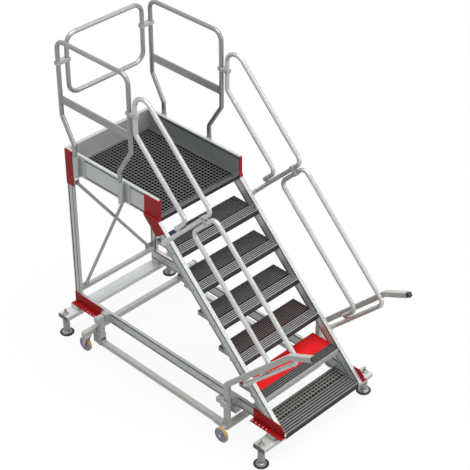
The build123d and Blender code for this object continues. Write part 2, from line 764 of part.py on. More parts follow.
# Pivots of the castor gear: pins on the base rails with a block and an end cap
pin_r = 10.0
pivot_z = 290.0
lever_y_at = 485.0
lever_y = front_y + lever_y_at
rocker_y_at = 1850.0
rocker_y = front_y + rocker_y_at
gear_inner = lever_plane - square_tube / 2
gear_outer = lever_plane + square_tube / 2
pivot_block = 50.0
pivot_block_end = gear_inner - 10.0
pivot_cap_start = gear_outer + 7.0
pivot_cap_end = pivot_cap_start + 18.0
pivot_plate_low = rail_bottom + 7.0
pivot_bar_start_at = 438.0
pivot_bar_start = front_y + pivot_bar_start_at
pivot_bar_end_at = 638.0
pivot_bar_end = front_y + pivot_bar_end_at
pivot_bar_over = 35.0
pivot_bar_outer = beam_outer + pivot_bar_over
with BuildPart() as pivot_brackets:
    for side, tag in side_names:
        with BuildSketch(Plane.YZ.offset(side * inner_half)):
            with Locations(((pivot_bar_start + pivot_bar_end) / 2, rail_bottom - square_tube / 2)):
                Rectangle(pivot_bar_end - pivot_bar_start, square_tube)
        extrude(amount=side * (pivot_bar_outer - inner_half))
        with BuildSketch(Plane.YZ.offset(side * beam_outer)):
            with Locations((lever_y, pivot_plate_low)):
                Rectangle(pivot_block, square_tube)
        extrude(amount=side * plate_t)
        for pivot_y in (lever_y, rocker_y):
            with BuildSketch(Plane.YZ.offset(side * beam_outer)):
                with Locations((pivot_y, (pivot_plate_low + pivot_z + pivot_block / 2) / 2)):
                    Rectangle(1.7 * pivot_block, pivot_z + pivot_block / 2 - pivot_plate_low)
            extrude(amount=side * plate_t)
            with BuildSketch(Plane.YZ.offset(side * beam_outer)):
                with Locations((pivot_y, pivot_z)):
                    Rectangle(pivot_block, pivot_block)
            extrude(amount=side * (pivot_block_end - beam_outer))
            with BuildSketch(Plane.YZ.offset(side * beam_outer)):
                with Locations((pivot_y, pivot_z)):
                    Circle(pin_r)
            extrude(amount=side * (pivot_cap_end - beam_outer))
            with BuildSketch(Plane.YZ.offset(side * pivot_cap_start)):
                with Locations((pivot_y, pivot_z)):
                    Rectangle(pivot_block, pivot_block)
            extrude(amount=side * (pivot_cap_end - pivot_cap_start))
pivot_brackets.part.label = "pivot_brackets"
export_step(pivot_brackets.part, "parts/pivot_brackets.step")

# Wheels of the castor gear and the height of their axles above the floor
wheel_r = 60.0
wheel_width = 28.0
wheel_lift = 3.0
axle_z = wheel_r + wheel_lift

# Hand levers on both sides, joined by a bar that carries the front axle bores
lever_bend_z = 455.0
lever_top_y_at = -112.0
lever_top_y = front_y + lever_top_y_at
lever_top_z = 1055.0
lever_tip_y_at = -300.0
lever_tip_y = front_y + lever_tip_y_at
lever_tip_z = 1144.0
lever_foot_drop = square_tube / 2
lever_bend_r = 32.0
lever_corner = 4.0
axle_bore_depth = 36.0
lever_points = (
    (lever_y, axle_z - lever_foot_drop),
    (lever_y, lever_bend_z),
    (lever_top_y, lever_top_z),
    (lever_tip_y, lever_tip_z),
)
with BuildPart() as lever_frame:
    for side, tag in side_names:
        with BuildLine() as lever_path:
            FilletPolyline(
                *[(side * lever_plane, point_y, point_z) for point_y, point_z in lever_points],
                radius=lever_bend_r,
            )
        with BuildSketch(Plane(origin=lever_path.line @ 0, x_dir=(1, 0, 0), z_dir=lever_path.line % 0)):
            RectangleRounded(square_tube, square_tube, lever_corner)
        sweep(path=lever_path.line)
    with BuildSketch(Plane.YZ.offset(-gear_inner)):
        with Locations((lever_y, axle_z)):
            Rectangle(square_tube, square_tube)
    extrude(amount=2 * gear_inner)
    for side, tag in side_names:
        with BuildSketch(Plane.YZ.offset(side * gear_outer)):
            with Locations((lever_y, pivot_z)):
                Circle(pin_r + fit_gap)
        extrude(amount=-side * square_tube, mode=Mode.SUBTRACT)
        with BuildSketch(Plane.YZ.offset(side * gear_outer)):
            with Locations((lever_y, axle_z)):
                Circle(pin_r + fit_gap)
        extrude(amount=-side * axle_bore_depth, mode=Mode.SUBTRACT)
lever_frame.part.label = "lever_frame"
export_step(lever_frame.part, "parts/lever_frame.step")

# Black plugs in the lever ends
grip_length = 26.0
grip_size = 36.0
lever_run_y = lever_tip_y - lever_top_y
lever_run_z = lever_tip_z - lever_top_z
with BuildPart() as lever_grips:
    for side, tag in side_names:
        grip_plane = Plane(
            origin=(side * lever_plane, lever_tip_y, lever_tip_z),
            x_dir=(1, 0, 0),
            z_dir=(0, lever_run_y, lever_run_z),
        )
        with BuildSketch(grip_plane):
            RectangleRounded(grip_size, grip_size, 2 * lever_corner)
        extrude(amount=grip_length)
lever_grips.part.label = "lever_grips"
export_step(lever_grips.part, "parts/lever_grips.step")

# Castor carriage: two long tubes, a cross bar over the rear castors, front axles,
# rear pivot pins and the pins the castors swivel on
long_front_y = lever_y + 35.0
cross_y = rocker_y + 55.0
cross_low_z = 155.0
castor_over = 103.0
castor_x = lever_plane + castor_over
cross_over = 32.0
cross_half = castor_x + cross_over
castor_plate = 60.0
castor_plate_t = 5.0
lug_gap = 1.0
lug_t = 7.0
lug_back_y = long_front_y + 80.0
boss_r = 17.0
boss_over = 77.0
boss_end = lever_plane + boss_over
stub_r = 8.0
stub_over = 120.0
stub_end = lever_plane + stub_over
washer_r = 14.0
wheel_over = 96.0
wheel_lead = 37.0
wheel_front_y = lever_y - wheel_lead
arm_t = 12.0
wheel_front_mid = lever_plane + wheel_over
side_gap = 2.0
kingpin_r = 8.0
kingpin_head_r = 11.0
kingpin_low_z = axle_z + wheel_r + 5.0
kingpin_head_t = 4.0
cheek_gap = 2.0
cheek_t = 6.0
cheek_inner = gear_inner - cheek_gap - cheek_t
cheek_outer = gear_outer + cheek_gap + cheek_t
lug_outer = gear_outer + lug_t
with BuildPart() as carriage:
    for side, tag in side_names:
        with BuildSketch(Plane.XZ.offset(-long_front_y)):
            with Locations((side * lever_plane, axle_z)):
                Rectangle(square_tube, square_tube)
        extrude(amount=-(cross_y + square_tube / 2 - long_front_y))
        with BuildSketch(Plane.XY.offset(axle_z)):
            with Locations((side * lever_plane, cross_y)):
                Rectangle(square_tube, square_tube)
        extrude(amount=cross_low_z - axle_z)
        with BuildSketch(Plane.YZ.offset(side * gear_outer)):
            with Locations(((long_front_y + lug_back_y) / 2, axle_z)):
                Rectangle(lug_back_y - long_front_y, square_tube)
        extrude(amount=side * lug_t)
        with BuildSketch(Plane.YZ.offset(side * (gear_outer + lug_gap))):
            with Locations((lever_y, axle_z)):
                Circle(square_tube / 2)
            with Locations(((lever_y + long_front_y) / 2, axle_z)):
                Rectangle(long_front_y - lever_y, square_tube)
        extrude(amount=side * (lug_t - lug_gap))
        with BuildSketch(Plane.YZ.offset(side * (gear_outer - axle_bore_depth + side_gap))):
            with Locations((lever_y, axle_z)):
                Circle(pin_r)
        extrude(amount=side * (axle_bore_depth - side_gap + lug_t))
        with BuildSketch(Plane.YZ.offset(side * lug_outer)):
            with Locations((lever_y, axle_z)):
                Circle(boss_r)
        extrude(amount=side * (boss_end - lug_outer))
        with BuildSketch(Plane.YZ.offset(side * boss_end)):
            with Locations((wheel_front_y, axle_z)):
                Circle(boss_r)
            with Locations(((lever_y + wheel_front_y) / 2, axle_z)):
                Rectangle(wheel_lead, 2 * boss_r)
        extrude(amount=-side * arm_t)
        with BuildSketch(Plane.YZ.offset(side * boss_end)):
            with Locations((wheel_front_y, axle_z)):
                Circle(stub_r)
        extrude(amount=side * (stub_end - boss_end))
        with BuildSketch(Plane.YZ.offset(side * stub_end)):
            with Locations((wheel_front_y, axle_z)):
                Circle(washer_r)
        extrude(amount=-side * (stub_end - wheel_front_mid - wheel_width / 2 - side_gap))
        with BuildSketch(Plane.YZ.offset(side * cheek_inner)):
            with Locations((rocker_y, axle_z)):
                Circle(pin_r)
        extrude(amount=side * (cheek_outer - cheek_inner))
        with BuildSketch(Plane.XY.offset(cross_low_z)):
            with Locations((side * castor_x, cross_y)):
                RectangleRounded(castor_plate, castor_plate, lever_corner)
        extrude(amount=-castor_plate_t)
        with BuildSketch(Plane.XY.offset(cross_low_z)):
            with Locations((side * castor_x, cross_y)):
                Circle(kingpin_r)
        extrude(amount=kingpin_low_z - cross_low_z)
        with BuildSketch(Plane.XY.offset(kingpin_low_z)):
            with Locations((side * castor_x, cross_y)):
                Circle(kingpin_head_r)
        extrude(amount=kingpin_head_t)
    with BuildSketch(Plane.YZ.offset(-cross_half)):
        with Locations((cross_y, cross_low_z + square_tube / 2)):
            Rectangle(square_tube, square_tube)
    extrude(amount=2 * cross_half)
carriage.part.label = "carriage"
export_step(carriage.part, "parts/carriage.step")

# Rear rockers, short tubes with cheeks that straddle the carriage tubes
rocker_low_z = 112.0
rocker_top_z = 312.0
cheek_top_z = 150.0
for side, tag in side_names:
    with BuildPart() as rocker:
        with BuildSketch(Plane.XY.offset(rocker_low_z)):
            with Locations((side * lever_plane, rocker_y)):
                Rectangle(square_tube + 2 * cheek_gap, square_tube)
        extrude(amount=rocker_top_z - rocker_low_z)
        for cheek_side in (-1, 1):
            with BuildSketch(
                Plane.YZ.offset(side * lever_plane + cheek_side * (square_tube / 2 + cheek_gap))
            ):
                with Locations((rocker_y, axle_z)):
                    Circle(square_tube / 2)
                with Locations((rocker_y, (axle_z + cheek_top_z) / 2)):
                    Rectangle(square_tube, cheek_top_z - axle_z)
            extrude(amount=cheek_side * cheek_t)
        with BuildSketch(Plane.YZ.offset(side * cheek_inner)):
            with Locations((rocker_y, pivot_z), (rocker_y, axle_z)):
                Circle(pin_r + fit_gap)
        extrude(amount=side * (cheek_outer - cheek_inner), mode=Mode.SUBTRACT)
    rocker.part.label = f"rocker_{tag}"
    export_step(rocker.part, f"parts/rocker_{tag}.step")

# Rear castor forks, a crown on the kingpin with two legs and the wheel axle
castor_trail = 16.0
leg_gap = 5.0
fork_leg_t = 4.0
crown_gap = 1.0
crown_low_z = kingpin_low_z + kingpin_head_t + crown_gap
crown_top_z = cross_low_z - castor_plate_t - 3.0
castor_axle_r = 6.0
fork_half = wheel_width / 2 + leg_gap + fork_leg_t
fork_y = cross_y + castor_trail
for side, tag in side_names:
    with BuildPart() as castor_fork:
        with BuildSketch(Plane.XY.offset(crown_low_z)):
            with Locations((side * castor_x, cross_y)):
                Rectangle(2 * fork_half, 2 * fork_half)
        extrude(amount=crown_top_z - crown_low_z)
        for leg_side in (-1, 1):
            with BuildSketch(Plane.YZ.offset(side * castor_x + leg_side * (fork_half - fork_leg_t))):
                with BuildLine():
                    Polyline(
                        (cross_y - fork_half, crown_top_z),
                        (cross_y + fork_half, crown_top_z),
                        (fork_y + 12, axle_z),
                        (fork_y + 8, axle_z - 11),
                        (fork_y - 8, axle_z - 11),
                        (fork_y - 12, axle_z),
                        close=True,
                    )
                make_face()
            extrude(amount=leg_side * fork_leg_t)
        with BuildSketch(Plane.XY.offset(crown_low_z)):
            with Locations((side * castor_x, cross_y)):
                Circle(kingpin_r + fit_gap)
        extrude(amount=crown_top_z - crown_low_z, mode=Mode.SUBTRACT)
        with BuildSketch(Plane.YZ.offset(side * castor_x - fork_half)):
            with Locations((fork_y, axle_z)):
                Circle(castor_axle_r)
        extrude(amount=2 * fork_half)
    castor_fork.part.label = f"castor_fork_{tag}"
    export_step(castor_fork.part, f"parts/castor_fork_{tag}.step")

# Wheels, a rounded tyre on a dished hub: fixed ones in front, castored at the rear
tyre_round = 5.0
hub_r = 22.0
dish_r = 46.0
dish_depth = 4.0
wheel_table = (
    (-wheel_front_mid, wheel_front_y, stub_r, "front_left"),
    (wheel_front_mid, wheel_front_y, stub_r, "front_right"),
    (-castor_x, fork_y, castor_axle_r, "rear_left"),
    (castor_x, fork_y, castor_axle_r, "rear_right"),
)
for wheel_x, wheel_y, bore_r, tag in wheel_table:
    with BuildPart() as wheel:
        with BuildSketch(Plane.XY.offset(axle_z)):
            with BuildLine():
                Polyline(
                    (wheel_x - wheel_width / 2, wheel_y + bore_r + fit_gap),
                    (wheel_x - wheel_width / 2, wheel_y + hub_r),
                    (wheel_x - wheel_width / 2 + dish_depth, wheel_y + hub_r + dish_depth),
                    (wheel_x - wheel_width / 2 + dish_depth, wheel_y + dish_r),
                    (wheel_x - wheel_width / 2, wheel_y + dish_r + dish_depth),
                    (wheel_x - wheel_width / 2, wheel_y + wheel_r - tyre_round),
                    (wheel_x - wheel_width / 2 + tyre_round, wheel_y + wheel_r),
                    (wheel_x + wheel_width / 2 - tyre_round, wheel_y + wheel_r),
                    (wheel_x + wheel_width / 2, wheel_y + wheel_r - tyre_round),
                    (wheel_x + wheel_width / 2, wheel_y + dish_r + dish_depth),
                    (wheel_x + wheel_width / 2 - dish_depth, wheel_y + dish_r),
                    (wheel_x + wheel_width / 2 - dish_depth, wheel_y + hub_r + dish_depth),
                    (wheel_x + wheel_width / 2, wheel_y + hub_r),
                    (wheel_x + wheel_width / 2, wheel_y + bore_r + fit_gap),
                    close=True,
                )
            make_face()
        revolve(axis=Axis((0, wheel_y, axle_z), (1, 0, 0)))
    wheel.part.label = f"wheel_{tag}"
    export_step(wheel.part, f"parts/wheel_{tag}.step")
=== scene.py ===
import bpy
import math
import numpy as np
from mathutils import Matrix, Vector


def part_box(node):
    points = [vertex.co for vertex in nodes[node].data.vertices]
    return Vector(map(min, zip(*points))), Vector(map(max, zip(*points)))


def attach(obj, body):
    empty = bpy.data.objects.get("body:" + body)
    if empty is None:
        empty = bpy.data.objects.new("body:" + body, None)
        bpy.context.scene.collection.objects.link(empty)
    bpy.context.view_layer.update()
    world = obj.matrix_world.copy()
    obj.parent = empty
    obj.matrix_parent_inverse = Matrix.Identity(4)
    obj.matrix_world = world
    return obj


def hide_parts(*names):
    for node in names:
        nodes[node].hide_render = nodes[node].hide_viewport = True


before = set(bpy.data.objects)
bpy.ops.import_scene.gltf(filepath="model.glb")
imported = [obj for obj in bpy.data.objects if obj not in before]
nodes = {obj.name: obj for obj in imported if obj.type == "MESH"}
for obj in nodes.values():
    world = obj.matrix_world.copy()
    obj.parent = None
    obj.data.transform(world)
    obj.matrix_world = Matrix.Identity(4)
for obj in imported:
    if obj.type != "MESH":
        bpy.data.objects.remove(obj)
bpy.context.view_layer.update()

# ---------------------------------------------------------------------------
# Studio: a pale floor that keeps a soft shadow, a white surround, a broad lamp
# overhead, a softer one from the front right, and the camera high at the
# front left corner, where the view of the stair is almost along a diagonal.
# ---------------------------------------------------------------------------
FLOOR_HALF = 30
FLOOR_LIFT = 0.82
PICTURE_PIXELS = 470.0
FOCAL_PIXELS = 1498.5
CAMERA_TILT = 35.1
CAMERA_HEADING = -45.4


class Wire:
    """One output of a node. Operators on it add Math nodes, so sums are written as sums."""

    def __init__(self, finish, socket):
        self.finish = finish
        self.socket = socket

    def math(self, operation, *others, clamp=False):
        """The operation on this value and the others, in that order."""
        return self.finish.math(operation, self, *others, clamp=clamp)

    def __add__(self, other):
        return self.math("ADD", other)

    def __sub__(self, other):
        return self.math("SUBTRACT", other)

    def __rsub__(self, other):
        return self.finish.math("SUBTRACT", other, self)

    def __mul__(self, other):
        return self.math("MULTIPLY", other)

    __radd__ = __add__
    __rmul__ = __mul__

    def __abs__(self):
        return self.math("ABSOLUTE")

    def below(self, edge, soft):
        """1 where the value is under edge, falling to 0 over a band soft wide."""
        return self.math("MULTIPLY_ADD", -1.0 / soft, 0.5 + edge / soft, clamp=True)

    def above(self, edge, soft):
        """1 where the value is over edge, rising from 0 over a band soft wide."""
        return self.math("MULTIPLY_ADD", 1.0 / soft, 0.5 - edge / soft, clamp=True)


class Finish:
    """A surface finish: a material or world, and the methods that add nodes to it."""

    COLOUR_A, COLOUR_B, COLOUR_OUT = 6, 7, 2

    def __init__(self, name, material=None):
        self.material = material or bpy.data.materials.new(name)
        self.material.use_nodes = True
        self.tree = self.material.node_tree
        self.shader = self.tree.nodes.get("Principled BSDF")

    def join(self, socket, value):
        """Links a wire to an input socket, or sets a number or colour there."""
        if isinstance(value, Wire):
            self.tree.links.new(value.socket, socket)
        else:
            socket.default_value = value

    def node(self, kind, values=None, out=0, **settings):
        """Adds a node, its settings first and then its socket values, and gives one output."""
        made = self.tree.nodes.new("ShaderNode" + kind)
        for name, value in settings.items():
            setattr(made, name, value)
        for key, value in (values or {}).items():
            self.join(made.inputs[key], value)
        return Wire(self, made.outputs[out])

    def math(self, operation, *values, clamp=False):
        """A Math node on one to three values."""
        return self.node("Math", dict(enumerate(values)), operation=operation, use_clamp=clamp)

    def ray(self, kind):
        """1 for the rays of one kind, 0 for all others."""
        return self.node("LightPath", out=f"Is {kind} Ray")

    def mix(self, factor, first, second):
        """A shader between the first, at factor 0, and the second, at factor 1."""
        return self.node("MixShader", {0: factor, 1: first, 2: second})

    def blend(self, factor, first, second):
        """A colour between the first, at factor 0, and the second, at factor 1."""
        return self.node("Mix", {0: factor, self.COLOUR_A: first, self.COLOUR_B: second},
                         out=self.COLOUR_OUT, data_type="RGBA")

    def place(self):
        """The point on the piece, in its own object coordinates."""
        return self.node("TexCoord", out="Object")

    def along(self, vector, direction):
        """How far the point lies along a direction: the dot product of the two."""
        return self.node("VectorMath", {0: vector, 1: direction}, out="Value",
                         operation="DOT_PRODUCT")

    def band(self, place, direction, value, half, soft):
        """1 where direction . point is nearer than half to the value."""
        return abs(self.along(place, direction) - value).below(half, soft)

    def noise(self, vector, scale, detail=3.0, rough=0.55):
        """Cloudy noise around 0.5 at the given number of cells a metre."""
        return self.node("TexNoise", {"Vector": vector, "Scale": scale, "Detail": detail,
                                      "Roughness": rough})

    def streaks(self, vector, run, along, across, detail, rough=0.55):
        """Noise with its own number of cells a metre along the run axis and across it."""
        cells = tuple(along if axis == run else across for axis in range(3))
        scaled = self.node("VectorMath", {0: vector, 1: cells}, operation="MULTIPLY")
        return self.noise(scaled, 1.0, detail, rough)

    def bump(self, height, distance, strength):
        """The normal of a surface that the height lifts by up to distance metres."""
        return self.node("Bump", {"Height": height, "Distance": distance, "Strength": strength})

    def wear(self, **sockets):
        """Sets the shader's own sockets by name, with _ for the spaces in it."""
        for name, value in sockets.items():
            self.join(self.shader.inputs[name.replace("_", " ")], value)
        return self.material


def lamp(name, toward, strength, angle):
    """A lamp so far off that its light is even; toward is where it stands, seen from the stair."""
    data = bpy.data.lights.new(name, "SUN")
    data.energy = strength
    data.angle = math.radians(angle)
    light = bpy.data.objects.new(name, data)
    scene.collection.objects.link(light)
    x, y, z = toward
    light.rotation_euler = (math.atan2(math.hypot(x, y), z), 0.0, math.atan2(y, x) + math.pi / 2)


scene = bpy.context.scene
scene.view_settings.view_transform = "Standard"
lamp("overhead", (0.06, -0.16, 1.0), strength=3.2, angle=60.0)
lamp("front_right", (0.35, -0.90, 0.35), strength=0.75, angle=34.0)

world = bpy.data.worlds.new("surround")
scene.world = world
surround = Finish("surround", world)
seen = surround.ray("Camera") + surround.ray("Glossy") + surround.ray("Transmission")
white = surround.node("Background", {"Color": (1.0, 1.0, 1.0, 1.0), "Strength": 1.0})
soft_sky = surround.node("Background", {"Color": (0.98, 0.99, 1.0, 1.0), "Strength": 0.24})
surround.join(surround.tree.nodes["World Output"].inputs["Surface"],
              surround.mix(seen.math("MINIMUM", 1.0), soft_sky, white))

floor_mesh = bpy.data.meshes.new("floor")
corners = [(x * FLOOR_HALF, y * FLOOR_HALF, 0) for x, y in ((-1, -1), (1, -1), (1, 1), (-1, 1))]
floor_mesh.from_pydata(corners, [], [(0, 1, 2, 3)])
floor = bpy.data.objects.new("floor", floor_mesh)
scene.collection.objects.link(floor)
pale = Finish("pale_floor")
shine_free = pale.node("BsdfDiffuse", {"Color": (0.38, 0.38, 0.38, 1.0)})
glow = pale.node("Emission", {"Color": (1.0, 1.0, 1.0, 1.0), "Strength": 1.12})
lifted = pale.ray("Camera").math("MAXIMUM", pale.ray("Glossy"))
pale.join(pale.tree.nodes["Material Output"].inputs["Surface"],
          pale.mix(lifted * FLOOR_LIFT, shine_free, glow))
floor.data.materials.append(pale.material)

camera_data = bpy.data.cameras.new("camera")
camera_data.sensor_width = 36.0
camera_data.lens = FOCAL_PIXELS / PICTURE_PIXELS * camera_data.sensor_width
camera = bpy.data.objects.new("camera", camera_data)
scene.collection.objects.link(camera)
camera.location = (-6.1733, -6.1609, 7.3956)
camera.rotation_euler = (math.radians(90.0 - CAMERA_TILT), 0.0, math.radians(CAMERA_HEADING))
scene.camera = camera

# ---------------------------------------------------------------------------
# Base rails, rear uprights, platform side beams and stringers: hollow
# aluminium extrusions, mill finish, each with a sunk seam near both edges of
# its outer face where the lips of the profile turn in. Each seam is painted
# dark as the shade in its groove, and the inner faces of the platform beams
# are painted darker as shade.
# ---------------------------------------------------------------------------
def rgb(red, green, blue):
    """A linear colour from three 0 to 255 screen values."""
    screen = np.array([red, green, blue]) / 255.0
    linear = np.where(screen <= 0.04045, screen / 12.92, ((screen + 0.055) / 1.055) ** 2.4)
    return (*linear.tolist(), 1.0)


def shaded(colour, factor, lift=0.0):
    """A colour with each part times the factor, plus the lift, and none above 1."""
    return tuple(min(1.0, part * factor + lift) for part in colour[:3]) + (1.0,)


RIGHT, BACK, UP = (1, 0, 0), (0, 1, 0), (0, 0, 1)
ALUMINIUM = rgb(206, 210, 208)
PAINTED_SHADE_DARK = rgb(48, 54, 52)
SEAM = 0.0045
RAIL_LIP = 0.45
RAIL_TOP_SEAM = SEAM * 1.3
UPRIGHT_LIP = 0.013
BEAM_LIPS = (0.017, 0.019)
BEAM_TOP_SEAM = SEAM * 1.2
BEAM_SHADE_BAND = 0.0015
STRINGER_WIDE = 0.086
STRINGER_LIPS = (0.018, 0.019)
STRINGER_SEAM = 0.006
STRINGER_SLOPE = 45.0
ACROSS_SLOPE = (0, -1, 1)


def drawn(name, colour, run, seams=(), painted_shade_faces=(), metallic=0.28, slope=0.0, lines=0.10):
    """Extruded metal. Die lines are noise stretched along the run, an oxide cloud varies
    the tone, and each seam is a dark band of painted shade where direction . point is near
    its value. Each face listed after the seams, given the same way, is painted darker as shade."""
    finish = Finish(name)
    place = finish.place()
    level = finish.node("VectorRotate", {"Vector": place, "Angle": -slope},
                        rotation_type="X_AXIS")
    die_lines = finish.streaks(level, run, along=4.0, across=420.0, detail=4.0)
    cloud = finish.noise(place, scale=7.0, detail=5.0, rough=0.6)
    scuff = finish.streaks(level, run, along=9.0, across=60.0, detail=6.0, rough=0.7)
    tone = die_lines * lines + cloud * 0.16 + scuff.above(0.60, soft=0.16) * 0.07
    colouring = finish.blend(tone * 3.2, shaded(colour, 0.80), shaded(colour, 1.12))
    dents = die_lines * 0.3 + cloud * 0.7
    for direction, value, half in seams:
        # Painted shade: the groove's shade is painted into the colour as a dark band.
        seam = finish.band(place, direction, value, half, soft=0.0016)
        colouring = finish.blend(seam * 0.96, colouring, PAINTED_SHADE_DARK)
        dents = dents - seam * 0.6
    # Painted shade: each face listed here is painted darker, as shade.
    for direction, value, half in painted_shade_faces:
        face_shade = finish.band(place, direction, value, half, soft=0.0005)
        colouring = finish.blend(face_shade * 0.36, colouring, PAINTED_SHADE_DARK)
    return finish.wear(Base_Color=colouring, Metallic=metallic, Specular_IOR_Level=0.4,
                       Roughness=die_lines * 0.14 + cloud * 0.10 + 0.30,
                       Normal=finish.bump(dents, distance=0.0010, strength=0.16))


def dress(node, material):
    """Gives a CAD node its finish."""
    made = nodes[node].data.materials
    made.clear()
    made.append(material)


for side in ("left", "right"):
    low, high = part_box("base_rail_" + side)
    inset = (high[2] - low[2]) / 4 * RAIL_LIP
    dress("base_rail_" + side, drawn("base_rail_" + side, ALUMINIUM, 1,
          seams=((UP, low[2] + inset, SEAM), (UP, high[2] - inset, RAIL_TOP_SEAM))))
    low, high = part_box("upright_" + side)
    dress("upright_" + side, drawn("upright_" + side, ALUMINIUM, 2,
          seams=((BACK, low[1] + UPRIGHT_LIP, SEAM), (BACK, high[1] - UPRIGHT_LIP, SEAM))))
    low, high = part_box("platform_beam_" + side)
    # Painted shade: the inner face of each beam, toward the deck, is painted darker as shade.
    inner_face = low[0] if side == "right" else high[0]
    dress("platform_beam_" + side, drawn("platform_beam_" + side, ALUMINIUM, 1,
          seams=((UP, low[2] + BEAM_LIPS[0], SEAM), (UP, high[2] - BEAM_LIPS[1], BEAM_TOP_SEAM)),
          painted_shade_faces=((RIGHT, inner_face, BEAM_SHADE_BAND),)))
    low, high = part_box("stringer_" + side)
    front_line = low[2] - low[1]
    back_line = front_line - STRINGER_WIDE * math.sqrt(2)
    dress("stringer_" + side, drawn("stringer_" + side, ALUMINIUM, 1,
          seams=((ACROSS_SLOPE, front_line - STRINGER_LIPS[0], STRINGER_SEAM),
                 (ACROSS_SLOPE, back_line + STRINGER_LIPS[1], STRINGER_SEAM)),
          slope=math.radians(STRINGER_SLOPE)))

# ---------------------------------------------------------------------------
# Rear toe board, cross members and crossed braces: plain sections of the same
# mill-finish aluminium, fixed between the extrusions.
# ---------------------------------------------------------------------------
TOE_BOARD_LIP = 1.470
TOE_BOARD_SEAM = 0.003

# The toe board's seam is painted dark as the shade in its groove.
dress("toe_board_rear", drawn("toe_board_rear", rgb(196, 198, 195), 0,
      seams=((UP, TOE_BOARD_LIP, TOE_BOARD_SEAM),)))
dress("cross_members", drawn("cross_members", rgb(196, 200, 198), 0, lines=0.08))
dress("braces", drawn("braces", rgb(170, 172, 171), 0, lines=0.08, metallic=0.5))

# ---------------------------------------------------------------------------
# Guards and handrails: drawn tube, ground smooth and left bright, bent cold on
# a former. The side guards have a flat, duller rail welded in, and the legs
# stand in short sleeves on the platform beams.
# ---------------------------------------------------------------------------
FLAT_RAIL_FROM = 2.029
FLAT_RAIL_TO = 2.098
GUARD_BEND = 0.045


def bright_tube(name, colour, flat_rail=None):
    """Ground tube: soft cross marks and soft clouds of handling in tone and gloss.
    flat_rail is (y from, y to, z from, z to) of a mill-finish bar, darker and duller."""
    finish = Finish(name)
    place = finish.place()
    grind = finish.streaks(place, 0, along=90.0, across=60.0, detail=2.0)
    handled = finish.noise(place, scale=7.0, detail=2.0, rough=0.4)
    colouring = finish.blend(grind * 0.15 + handled * 0.85,
                             shaded(colour, 0.88), shaded(colour, 1.05))
    rough = handled * 0.08 + grind * 0.03 + 0.17
    if flat_rail:
        start, end, bottom, top = flat_rail
        flat = (finish.band(place, BACK, (start + end) / 2, (end - start) / 2, soft=0.002)
                * finish.band(place, UP, (bottom + top) / 2, (top - bottom) / 2, soft=0.002))
        mill_grey = finish.blend(handled, rgb(148, 151, 149), rgb(164, 167, 165))
        colouring = finish.blend(flat, colouring, mill_grey)
        rough = rough + flat * 0.30
    return finish.wear(Base_Color=colouring, Metallic=0.50, Roughness=rough,
                       Normal=finish.bump(handled, distance=0.0002, strength=0.08))


handrail_tube = bright_tube("handrail_tube", rgb(202, 203, 200))
for node in ("handrail_upper_left", "handrail_upper_right",
             "handrail_lower_left", "handrail_lower_right"):
    dress(node, handrail_tube)
low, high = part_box("side_guard_left")
guard_tube = bright_tube("guard_tube", rgb(152, 154, 153),
                         (low[1] + GUARD_BEND, high[1] - GUARD_BEND, FLAT_RAIL_FROM, FLAT_RAIL_TO))
for node in ("side_guard_left", "side_guard_right"):
    dress(node, guard_tube)
dress("rear_guard", bright_tube("rear_tube", rgb(162, 164, 163)))
dress("guard_sockets", drawn("socket_finish", rgb(196, 200, 197), 2, lines=0.06))

# ---------------------------------------------------------------------------
# Tube clamps: small cast shells, pale grey and matt, that hold the handrails
# to the guards and to each other. Each is screwed tight round its tubes.
# ---------------------------------------------------------------------------
def cast(name, colour, rough=0.6, metallic=0.3):
    """Sand-cast metal, and anything else with a grained skin, such as plated screws and
    moulded plastic: coarse grain and blotches in tone, and the grain lifted in the bump."""
    finish = Finish(name)
    place = finish.place()
    grain = finish.noise(place, scale=420.0, detail=3.0, rough=0.7)
    blotch = finish.noise(place, scale=26.0, detail=4.0)
    colouring = finish.blend(grain * 0.5 + blotch * 0.5, shaded(colour, 0.72), shaded(colour, 1.3))
    return finish.wear(Base_Color=colouring, Metallic=metallic,
                       Roughness=blotch * 0.2 + (rough - 0.1),
                       Normal=finish.bump(grain, distance=0.0005, strength=0.5))


dress("rail_clamps", cast("clamp_casting", rgb(186, 188, 187)))

# ---------------------------------------------------------------------------
# Red brackets and the red tread plate: sheet steel, folded and powder coated,
# deeper red on the brackets and a plain bright red on the plate.
# ---------------------------------------------------------------------------
def powder(name, colour, deep, gloss):
    """Powder coat: orange-peel bump from round cells, a slow change of tone, small rubbed
    spots."""
    finish = Finish(name)
    place = finish.place()
    peel = finish.node("TexVoronoi", {"Vector": place, "Scale": 520.0}, feature="SMOOTH_F1")
    slow = finish.noise(place, scale=9.0, detail=4.0)
    rubbed = finish.noise(place, scale=90.0, detail=6.0, rough=0.75).above(0.70, soft=0.06)
    colouring = finish.blend(slow.above(0.5, soft=0.5), colour, deep)
    colouring = finish.blend(rubbed * 0.25, colouring, shaded(colour, 1.5, lift=0.02))
    return finish.wear(Base_Color=colouring, Metallic=0.0, Specular_IOR_Level=0.3,
                       Roughness=peel * 0.25 + slow * 0.12 + gloss,
                       Normal=finish.bump(peel, distance=0.0004, strength=0.3))


bracket_red = powder("bracket_red", rgb(184, 8, 16), rgb(140, 8, 16), gloss=0.40)
dress("base_brackets", bracket_red)
dress("deck_brackets", bracket_red)
dress("tread_plate", powder("plate_red", rgb(222, 6, 10), rgb(200, 5, 9), gloss=0.42))
